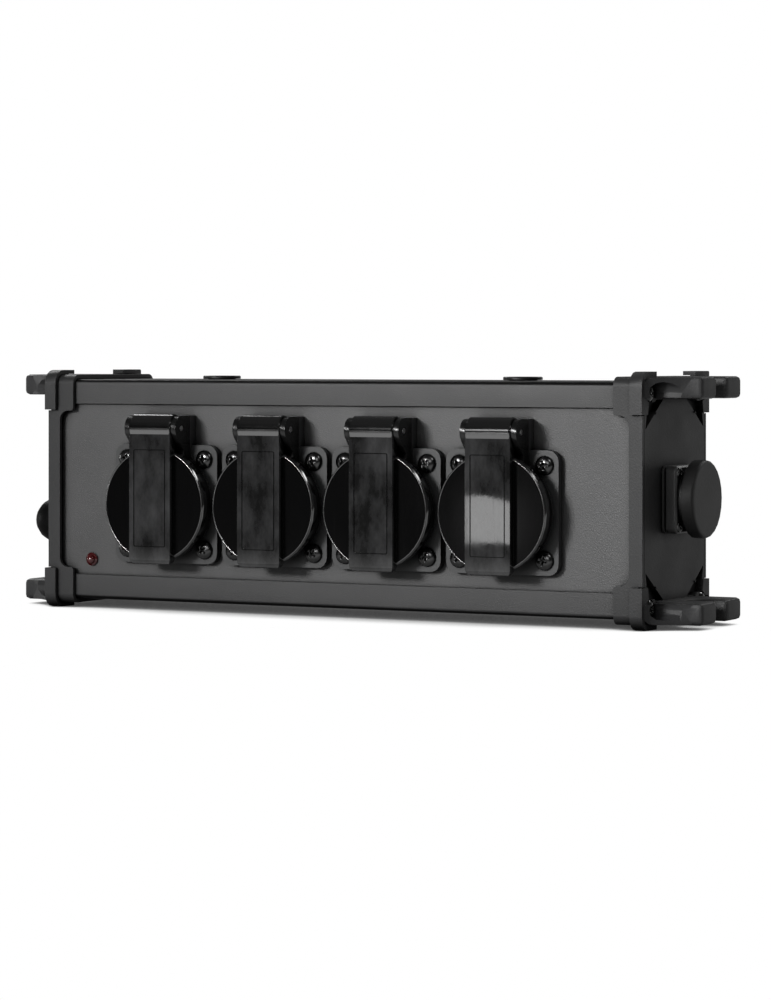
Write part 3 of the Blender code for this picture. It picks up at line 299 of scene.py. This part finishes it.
def lid_plastic():
    """Polished black plastic, with a smudged strap in front of a darker cover."""
    mat, tree, shader = new_material("lid_plastic")
    smear = noise(tree, 70, 6, 0.65, (1, 1, 0.5))
    scratch = noise(tree, 900, 2, 0.5, (1, 1, 0.03))
    place = split_axes(tree, "Object")["Y"]
    strap = ramp(tree, place, (STRAP_FRONT + 1.5) * MM, (STRAP_FRONT + 1.3) * MM, 0, 1)
    hazy = mix(tree, ramp(tree, smear, 0.38, 0.68, 0, 1), STRAP_CLEAN, STRAP_HAZE)
    tree.links.new(mix(tree, strap, COVER_BLACK, hazy), shader.inputs["Base Color"])
    rim = ramp(tree, split_axes(tree, "Normal")["Y"], -0.99, -0.90, 0, 1)
    rim_gloss = ramp(tree, rim, 0, 1, COVER_GLOSS, RIM_GLOSS)
    strap_gloss = ramp(tree, strap, 0, 1, COVER_GLOSS, STRAP_GLOSS)
    gloss = calculate(tree, "MAXIMUM", rim_gloss, strap_gloss)
    tree.links.new(gloss, shader.inputs["Specular IOR Level"])
    cover_rough = ramp(tree, smear, 0.35, 0.75, 0.10, 0.16)
    strap_rough = ramp(tree, smear, 0.35, 0.75, 0.02, 0.07)
    rough = mix(tree, strap, cover_rough, strap_rough, "FLOAT")
    rough = calculate(tree, "ADD", rough, ramp(tree, scratch, 0.62, 0.72, 0, 0.05))
    tree.links.new(rough, shader.inputs["Roughness"])
    bump(tree, shader, smear, 0.05, 0.0002)
    return mat


def metal(name, colour, rough):
    """Plain metal with fine marks in its colour and gloss."""
    mat, tree, shader = new_material(name)
    marks = noise(tree, 700, 3, 0.6)
    darker = tuple(c * 0.82 for c in colour)
    base = mix(tree, ramp(tree, marks, 0.35, 0.65, 0, 1), darker, colour)
    tree.links.new(base, shader.inputs["Base Color"])
    uneven = ramp(tree, marks, 0.3, 0.7, rough - 0.06, rough + 0.08)
    tree.links.new(uneven, shader.inputs["Roughness"])
    shader.inputs["Metallic"].default_value = 1
    bump(tree, shader, marks, 0.15, 0.00005)
    return mat


def lamp_plastic():
    """Dark red plastic with a clear coat."""
    mat, tree, shader = new_material("lamp_red")
    cloud = noise(tree, 600, 3)
    base = mix(tree, cloud, (0.04, 0.001, 0.001), (0.07, 0.002, 0.003))
    tree.links.new(base, shader.inputs["Base Color"])
    tree.links.new(ramp(tree, cloud, 0.3, 0.7, 0.06, 0.12), shader.inputs["Roughness"])
    shader.inputs["Coat Weight"].default_value = 0.6
    return mat


CASE = grained(
    "case_powder_coat", (0.026, 0.026, 0.0265), variation=0.16, rough=0.47,
    grain=2200, depth=0.00018, specular=0.38, fleck=(0.05, 0.05, 0.05), painted_shade=0.05,
)
PANEL = grained(
    "panel_powder_coat", (0.037, 0.037, 0.0375), variation=0.16, rough=0.46,
    grain=2200, depth=0.00018, specular=0.5, fleck=(0.07, 0.07, 0.07), painted_shade=0.05,
)
CAP = grained(
    "cap_plastic", (0.023, 0.023, 0.0235), variation=0.10, rough=0.48,
    grain=1300, depth=0.00015, specular=0.26, painted_shade=0.05,
)
FLANGE = grained(
    "flange_plastic", (0.030, 0.0305, 0.031), variation=0.10, rough=0.42,
    grain=1500, depth=0.00008, specular=0.39, painted_shade=0.05,
)
# Painted shade on the parts of the socket bodies in front of their flanges, which are also made
# smoother
paint_shade_in_front(FLANGE, FLANGE_FRONT - 0.9, 0.12)
# Painted shade on the rails' long rounded edges
paint_shade_on_round_edges(CASE, 0.15)
RUBBER = grained(
    "gasket_rubber", (0.012, 0.012, 0.012), variation=0.2, rough=0.75,
    grain=900, depth=0.0002, specular=0.3,
)
CAP_RUBBER = grained(
    "cap_rubber", (0.028, 0.028, 0.028), variation=0.12, rough=0.55,
    grain=1100, depth=0.00015, specular=0.4, painted_shade=0.1,
)
# Painted shade on the sides of the outlet cap
paint_shade_on_sides(CAP_RUBBER, 0.3)
BOOT = grained(
    "boot_rubber", (0.004, 0.004, 0.004), variation=0.12, rough=0.40,
    grain=1100, depth=0.0001, specular=0.03,
)
CONNECTOR = grained(
    "connector_plastic", (0.028, 0.028, 0.028), variation=0.1, rough=0.45,
    grain=1500, depth=0.0001, specular=0.4, painted_shade=0.1,
)
LID = lid_plastic()
BEAD = grained(
    "edge_plastic", (0.014, 0.014, 0.014), variation=0.2, rough=0.16,
    grain=700, depth=0.00002, specular=1.0,
)
BEAD.node_tree.nodes["Principled BSDF"].inputs["IOR"].default_value = 1.7
SCREW = metal("black_screw", (0.06, 0.06, 0.06), 0.20)
STEEL = metal("steel", (0.55, 0.55, 0.55), 0.28)
ZINC = metal("zinc", (0.03, 0.03, 0.03), 0.42)
BRASS = metal("brass", (0.72, 0.52, 0.24), 0.30)
CONTACT = grained(
    "contact_plastic", (0.42, 0.42, 0.40), variation=0.05, rough=0.5, grain=900, depth=0.0001
)
WIRES = {
    node: grained(name, colour, variation=0.1, rough=0.4, grain=600, depth=0.00005)
    for node, name, colour in (
        ("live_wire", "brown_wire", (0.12, 0.045, 0.02)),
        ("neutral_wire", "blue_wire", (0.02, 0.08, 0.38)),
        ("earth_wire", "green_wire", (0.12, 0.32, 0.04)),
    )
}
LAMP = lamp_plastic()

# Shape helpers


def finish_mesh(name, shape, paint, smooth=35):
    """A mesh from a bmesh, its edges sharp above an angle in degrees."""
    mesh = bpy.data.meshes.new(name)
    bmesh.ops.recalc_face_normals(shape, faces=shape.faces)
    shape.to_mesh(mesh)
    shape.free()
    mesh.materials.append(paint)
    mesh.shade_smooth()
    mesh.set_sharp_from_angle(angle=math.radians(smooth))
    return mesh


def add_piece(name, mesh, body, location):
    """A piece of the scene alone, at a place in millimetres, that moves with a body."""
    piece = bpy.data.objects.new(name, mesh)
    piece.location = [c * MM for c in location]
    scene.collection.objects.link(piece)
    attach(piece, body)
    return piece


def lathe(profile, steps):
    """A closed solid turned about Z from (radius, height) points in millimetres."""
    shape = bmesh.new()
    rings = []
    for radius, height in profile:
        if radius == 0:
            rings.append([shape.verts.new((0, 0, height * MM))])
            continue
        ring = []
        for i in range(steps):
            angle = 2 * math.pi * i / steps
            place = (radius * MM * math.cos(angle), radius * MM * math.sin(angle), height * MM)
            ring.append(shape.verts.new(place))
        rings.append(ring)
    for lower, upper in zip(rings, rings[1:]):
        for i in range(steps):
            j = (i + 1) % steps
            if len(lower) == 1:
                shape.faces.new((lower[0], upper[i], upper[j]))
            elif len(upper) == 1:
                shape.faces.new((lower[i], lower[j], upper[0]))
            else:
                shape.faces.new((lower[i], lower[j], upper[j], upper[i]))
    return shape


def bridge(shape, first, second):
    """Faces between two loops with the same number of corners."""
    faces = []
    for i in range(len(first)):
        j = (i + 1) % len(first)
        faces.append(shape.faces.new((first[i], first[j], second[j], second[i])))
    return faces


def arc(u, v, radius, start, end, steps):
    angles = [math.radians(start + (end - start) * i / steps) for i in range(steps + 1)]
    return [(u + radius * math.cos(a), v + radius * math.sin(a)) for a in angles]


def rounded_rectangle(width, height, radius, steps=6):
    points = []
    for across, up, start in ((1, 1, 0), (-1, 1, 90), (-1, -1, 180), (1, -1, 270)):
        centre = (across * (width / 2 - radius), up * (height / 2 - radius))
        points += arc(*centre, radius, start, start + 90, steps)
    return points


def turn_shape(shape, matrix):
    bmesh.ops.transform(shape, matrix=matrix, verts=shape.verts)


# Z out of the front face, X along the box
FRONT = Matrix(((1, 0, 0, 0), (0, 0, -1, 0), (0, 1, 0, 0), (0, 0, 0, 1)))
# Z out of the right or the left end
RIGHT = Matrix(((0, 0, 1, 0), (1, 0, 0, 0), (0, 1, 0, 0), (0, 0, 0, 1)))
LEFT = Matrix(((0, 0, -1, 0), (-1, 0, 0, 0), (0, 1, 0, 0), (0, 0, 0, 1)))


def dress(name, paint, width=0.25, segments=2):
    """A CAD node keeps its shape and gets a material, soft edges and smooth round faces."""
    node = nodes[name]
    node.data.materials.clear()
    node.data.materials.append(paint)
    if "custom_normal" in node.data.attributes:
        node.data.attributes.remove(node.data.attributes["custom_normal"])
    node.data.shade_smooth()
    weld = node.modifiers.new("weld", "WELD")
    weld.merge_threshold = 0.000002
    if width:
        edge = node.modifiers.new("soft_edges", "BEVEL")
        edge.width = width * MM
        edge.segments = segments
        edge.limit_method = "ANGLE"
        edge.angle_limit = math.radians(40)
        edge.harden_normals = True
        edge.use_clamp_overlap = True
    # Broad flat faces keep flat normals beside their rounded edges
    flat = node.modifiers.new("face_normals", "WEIGHTED_NORMAL")
    flat.mode = "FACE_AREA"
    flat.weight = 60


# Screws


def recess_blade(recess, height):
    """One bar of a cross recess, wider at the top, from inside a head to above it."""
    blade = bmesh.new()
    wide = recess * 0.24
    loops = []
    for u, v, level in (
        (recess * 0.45, wide * 0.6, height * 0.25),
        (recess, wide, height + 0.5),
    ):
        outline = [(-u, -v), (u, -v), (u, v), (-u, v)]
        loops.append([blade.verts.new((a * MM, b * MM, level * MM)) for a, b in outline])
    blade.faces.new(loops[0][::-1])
    blade.faces.new(loops[1])
    bridge(blade, *loops)
    return blade


def pan_screw(name, radius, height, recess):
    """Domed head with a cross recess, its seat at zero."""
    profile = [(0, height)]
    for u, v in arc(0, 0, 1, 80, 10, 6):
        # The last point, at 10 degrees, reaches the full width of the dome
        widen = math.cos(math.radians(10)) if v < 0.2 else 1
        profile.append((radius * 0.96 * u / widen, height * (0.35 + 0.65 * v)))
    profile += [(radius, height * 0.30), (radius, 0), (0, 0)]
    shape = lathe(profile, 40)
    head = bpy.data.objects.new(name, finish_mesh(name, shape, SCREW, 40))
    scene.collection.objects.link(head)
    tools = []
    for turn in (0, 90):
        blade = recess_blade(recess, height)
        turn_shape(blade, Matrix.Rotation(math.radians(turn), 4, "Z"))
        tool = bpy.data.objects.new(name + "_tool", finish_mesh(name + "_tool", blade, SCREW))
        scene.collection.objects.link(tool)
        tools.append(tool)
        step = head.modifiers.new("cut", "BOOLEAN")
        step.operation = "DIFFERENCE"
        step.solver = "EXACT"
        step.object = tool
    graph = bpy.context.evaluated_depsgraph_get()
    mesh = bpy.data.meshes.new_from_object(head.evaluated_get(graph))
    mesh.name = name
    bpy.data.objects.remove(head)
    for tool in tools:
        bpy.data.objects.remove(tool)
    return mesh


turns = itertools.cycle(SCREW_TURNS)


def add_screw(name, head, place, direction):
    """A screw head on the case, each turned a little differently."""
    piece = add_piece(name, head, "case", place)
    piece.rotation_euler = (direction @ Matrix.Rotation(next(turns), 4, "Z")).to_euler()
    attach(piece, "case")
    return piece


flange_head = pan_screw("flange_screw_head", 3.9, 2.3, 2.3)
end_head = pan_screw("end_screw_head", 3.8, 2.4, 2.3)

for number, x in enumerate(SOCKET_XS, 1):
    for corner, (across, up) in enumerate(CORNERS, 1):
        place = (x + across * FLANGE_HOLE, FLANGE_FRONT, SOCKET_Z + up * FLANGE_HOLE)
        add_screw(f"flange_screw_{number}_{corner}", flange_head, place, FRONT)

for name in sorted(nodes):
    if not name.startswith("end_screw"):
        continue
    low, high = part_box(name)
    middle = (low + high) / 2
    right = middle.x > 0
    seat = (high.x - CAD_HEAD_HEIGHT * MM) if right else (low.x + CAD_HEAD_HEIGHT * MM)
    place = (seat / MM, middle.y / MM, middle.z / MM)
    piece = add_screw("head_of_" + name, end_head, place, RIGHT if right else LEFT)
    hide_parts(name)

# CAD nodes that stay

for name in ("top_rail", "bottom_rail"):
    dress(name, CASE, 0.2)
for name in ("front_panel", "back_panel"):
    dress(name, PANEL, 0.15)
for side in ("left", "right"):
    dress(f"end_frame_{side}", CAP, 0.3)
    dress(f"end_cap_{side}", CAP, 0.3)
    dress(f"clamp_insert_{side}", ZINC, 0.15)
for number in range(1, 5):
    dress(f"socket_body_{number}", FLANGE, 0.3)
    dress(f"socket_gasket_{number}", RUBBER, 0.2)
    dress(f"earth_contact_{number}", BRASS, 0.1)
    dress(f"contact_block_{number}", CONTACT, 0.2)
    dress(f"lid_pin_{number}", STEEL, 0.1)
    dress(f"lid_spring_{number}", STEEL, 0)
    dress(f"socket_lid_{number}", LID, 0.35, 3)
for side in ("outlet", "inlet"):
    dress(f"{side}_gasket", RUBBER, 0.3)
    dress(f"{side}_connector", CONNECTOR, 0.2)
dress("outlet_cap", CAP_RUBBER, 0.25)
dress("reset_breaker", CONNECTOR, 0.25)
dress("reset_boot", BOOT, 0)
dress("indicator_lamp", LAMP, 0)
for name, paint in WIRES.items():
    dress(name, paint, 0)

# Label frames on the lids' straps

for number, x in enumerate(SOCKET_XS, 1):
    outer = rounded_rectangle(*LABEL_OUTER)
    inner = rounded_rectangle(*LABEL_INNER)
    shape = bmesh.new()
    loops = []
    for outline, level in (
        (outer, LABEL_SUNK), (outer, LABEL_PROUD), (inner, LABEL_PROUD), (inner, LABEL_SUNK)
    ):
        loops.append([shape.verts.new((u * MM, v * MM, level * MM)) for u, v in outline])
    for first, second in zip(loops, loops[1:] + loops[:1]):
        bridge(shape, first, second)
    turn_shape(shape, FRONT)
    mesh = finish_mesh(f"label_frame_{number}", shape, LID)
    place = (x, STRAP_FRONT, LABEL_Z)
    add_piece(f"label_frame_{number}", mesh, f"lid_{number}", place)

# Sleeves round the rolls at the top of the straps, a little proud of them

for number, x in enumerate(SOCKET_XS, 1):
    shape = bmesh.new()
    sections = []
    for step in range(ROLL_STRIPS + 1):
        angle = math.radians(ROLL_START + ROLL_STEP * step)
        tapered = max(0.0, (step - ROLL_STRIPS + ROLL_TAPER_STRIPS) / ROLL_TAPER_STRIPS)
        outer = ROLL_OUTER - ROLL_TAPER * tapered
        section = []
        for across, radius in (
            (-ROLL_HALF_WIDTH, ROLL_INNER),
            (-ROLL_HALF_WIDTH, outer - ROLL_CHAMFER),
            (ROLL_CHAMFER - ROLL_HALF_WIDTH, outer),
            (ROLL_HALF_WIDTH - ROLL_CHAMFER, outer),
            (ROLL_HALF_WIDTH, outer - ROLL_CHAMFER),
            (ROLL_HALF_WIDTH, ROLL_INNER),
        ):
            place = (across * MM, -radius * MM * math.cos(angle), radius * MM * math.sin(angle))
            section.append(shape.verts.new(place))
        sections.append(section)
    for step, (first, second) in enumerate(zip(sections, sections[1:])):
        for face in bridge(shape, first, second):
            face.material_index = 0 if step < ROLL_BRIGHT_STRIPS else 1
    shape.faces.new(sections[0])
    shape.faces.new(sections[-1]).material_index = 1
    mesh = finish_mesh(f"lid_roll_{number}", shape, BEAD)
    mesh.materials.append(LID)
    place = (x, PIN_Y, PIN_Z)
    add_piece(f"lid_roll_{number}", mesh, f"lid_{number}", place)

# Beads round the lids' front edges

lid_low, lid_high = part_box("socket_lid_1")
bead_ring = (lid_high.x - lid_low.x) / 2 / MM - BEAD_INSET
for number, x in enumerate(SOCKET_XS, 1):
    shape = lathe([(bead_ring + u, v) for u, v in arc(0, 0, BEAD_RADIUS, 0, 360, 10)], 96)
    bmesh.ops.remove_doubles(shape, verts=shape.verts, dist=1e-7)
    turn_shape(shape, FRONT)
    mesh = finish_mesh(f"lid_bead_{number}", shape, BEAD, 80)
    place = (x, STRAP_FRONT + BEAD_BEHIND_STRAP, SOCKET_Z)
    add_piece(f"lid_bead_{number}", mesh, f"lid_{number}", place)

# Connector flange screws

small_head = pan_screw("connector_screw_head", 2.1, 1.3, 1.3)
for side, direction in (("outlet", RIGHT), ("inlet", LEFT)):
    low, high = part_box(f"{side}_gasket")
    middle = (low + high) / 2 / MM
    if side == "outlet":
        seat = high.x / MM + CONNECTOR_FLANGE
    else:
        seat = low.x / MM - CONNECTOR_FLANGE
    for corner, (across, up) in enumerate(CORNERS, 1):
        place = (seat, middle.y + across * CONNECTOR_HOLE_Y, middle.z + up * CONNECTOR_HOLE_Z)
        add_screw(f"{side}_screw_{corner}", small_head, place, direction)

# Floor and world


def mix_shaders(tree, factor, first, second):
    node = tree.nodes.new("ShaderNodeMixShader")
    tree.links.new(factor, node.inputs["Fac"])
    tree.links.new(first, node.inputs[1])
    tree.links.new(second, node.inputs[2])
    return node.outputs["Shader"]


def emission(tree, strength):
    node = tree.nodes.new("ShaderNodeEmission")
    tree.links.new(strength, node.inputs["Strength"])
    return node.outputs["Emission"]


def floor_material():
    """White with a painted soft shadow to the camera, and mid grey to soft light.

    Glossy pieces see a white floor that ends some way in front of the box, with painted shade
    under the box and near its front.
    """
    mat = bpy.data.materials.new("floor_white")
    mat.use_nodes = True
    tree = mat.node_tree
    tree.nodes.clear()
    output = tree.nodes.new("ShaderNodeOutputMaterial")
    diffuse = tree.nodes.new("ShaderNodeBsdfDiffuse")
    diffuse.inputs["Color"].default_value = (0.22, 0.22, 0.22, 1)
    path = tree.nodes.new("ShaderNodeLightPath").outputs
    # Painted shadow: the floor's glow falls near the box by occlusion
    shadow = ramp(tree, occlusion(tree, SHADOW_REACH, 16), 0.02, 0.55, 0.05, 1.0)
    place = split_axes(tree, "Object")["Y"]
    near = ramp(tree, place, -0.42, -0.30, 0.0, 1.0)
    # Painted shade: the floor seen in reflections is darker near the box's front
    painted_shade_near_front = ramp(tree, place, -0.10, -0.055, 1.0, 0.4)
    mirrored = calculate(tree, "MULTIPLY", near, calculate(tree, "MULTIPLY", shadow, painted_shade_near_front))
    unseen = mix_shaders(
        tree, path["Is Glossy Ray"], diffuse.outputs["BSDF"], emission(tree, mirrored)
    )
    surface = mix_shaders(tree, path["Is Camera Ray"], unseen, emission(tree, shadow))
    tree.links.new(surface, output.inputs["Surface"])
    return mat


def studio_world():
    """White to the camera. To the rest, a pale wall low behind the box and a dark room."""
    world = bpy.data.worlds.new("studio")
    world.use_nodes = True
    tree = world.node_tree
    axes = split_axes(tree, "Generated")
    behind = ramp(tree, axes["Y"], 0.0, 0.5, 0.0, 1.0)
    low_down = ramp(tree, axes["Z"], 0.08, 0.25, 1.0, 0.0)
    wall = calculate(tree, "MULTIPLY", behind, low_down)
    room = ramp(tree, wall, 0.0, 1.0, 0.10, 0.6)
    path = tree.nodes.new("ShaderNodeLightPath").outputs
    background = tree.nodes["Background"]
    background.inputs["Color"].default_value = (1, 1, 1, 1)
    level = mix(tree, path["Is Camera Ray"], room, 1.0, "FLOAT")
    tree.links.new(level, background.inputs["Strength"])
    return world


floor_mesh = bpy.data.meshes.new("floor")
floor_shape = bmesh.new()
bmesh.ops.create_grid(floor_shape, x_segments=2, y_segments=2, size=30)
floor_shape.to_mesh(floor_mesh)
floor_shape.free()
floor = bpy.data.objects.new("floor", floor_mesh)
scene.collection.objects.link(floor)
floor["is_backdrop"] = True
floor_mesh.materials.append(floor_material())
scene.world = studio_world()

# Lights


def add_light(name, kind, location, target, power):
    data = bpy.data.lights.new(name, kind)
    data.energy = power
    lamp = bpy.data.objects.new(name, data)
    lamp.location = location
    towards = Vector(target) - Vector(location)
    lamp.rotation_euler = towards.to_track_quat("-Z", "Y").to_euler()
    scene.collection.objects.link(lamp)
    return data


def area_light(name, location, target, size, power):
    data = add_light(name, "AREA", location, target, power)
    data.shape = "RECTANGLE"
    data.size, data.size_y = size


area_light("key", (-0.46, -1.45, 0.44), BOX_MIDDLE, (0.4, 0.22), 16)

# A soft pool of light over the middle and right of the front
pool = add_light("pool", "SPOT", (-0.46, -1.45, 0.46), (0.10, -0.025, 0.05), 26)
pool.spot_size = math.radians(20)
pool.spot_blend = 1
pool.shadow_soft_size = 0.13

area_light("front", (0.35, -2.0, 0.6), RIGHT_OF_MIDDLE, (0.7, 0.5), 5)
area_light("right", (0.9, -0.75, 1.1), RIGHT_OF_MIDDLE, (0.35, 0.35), 4)
area_light("back_left", (-1.3, 1.0, 1.2), BOX_MIDDLE, (0.6, 0.5), 9)
area_light("back_right", (0.4, 1.5, 1.2), BOX_MIDDLE, (0.6, 0.5), 9)
area_light("left", (-1.3, -0.12, 0.12), (0, -0.03, 0.05), (0.15, 0.3), 2)

# A small card low in front, mirrored in the fourth lid's strap
area_light("card", (-0.141, -0.49, 0.0165), (0.078, -0.040, 0.040), (0.027, 0.028), 0.014)

# Camera, fitted to edges measured in the photo

camera_data = bpy.data.cameras.new("camera")
camera = bpy.data.objects.new("camera", camera_data)
scene.collection.objects.link(camera)
camera.location = (0.66147, FRONT_Y * MM - 1.21011, 0.10933)
camera.rotation_euler = (math.radians(90), 0, math.radians(27.777))
camera_data.lens = 120.47
camera_data.sensor_width = 36
camera_data.shift_y = -0.147
camera_data.clip_start = 0.05
camera_data.clip_end = 100
scene.camera = camera

scene.view_settings.view_transform = "Standard"

low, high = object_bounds()
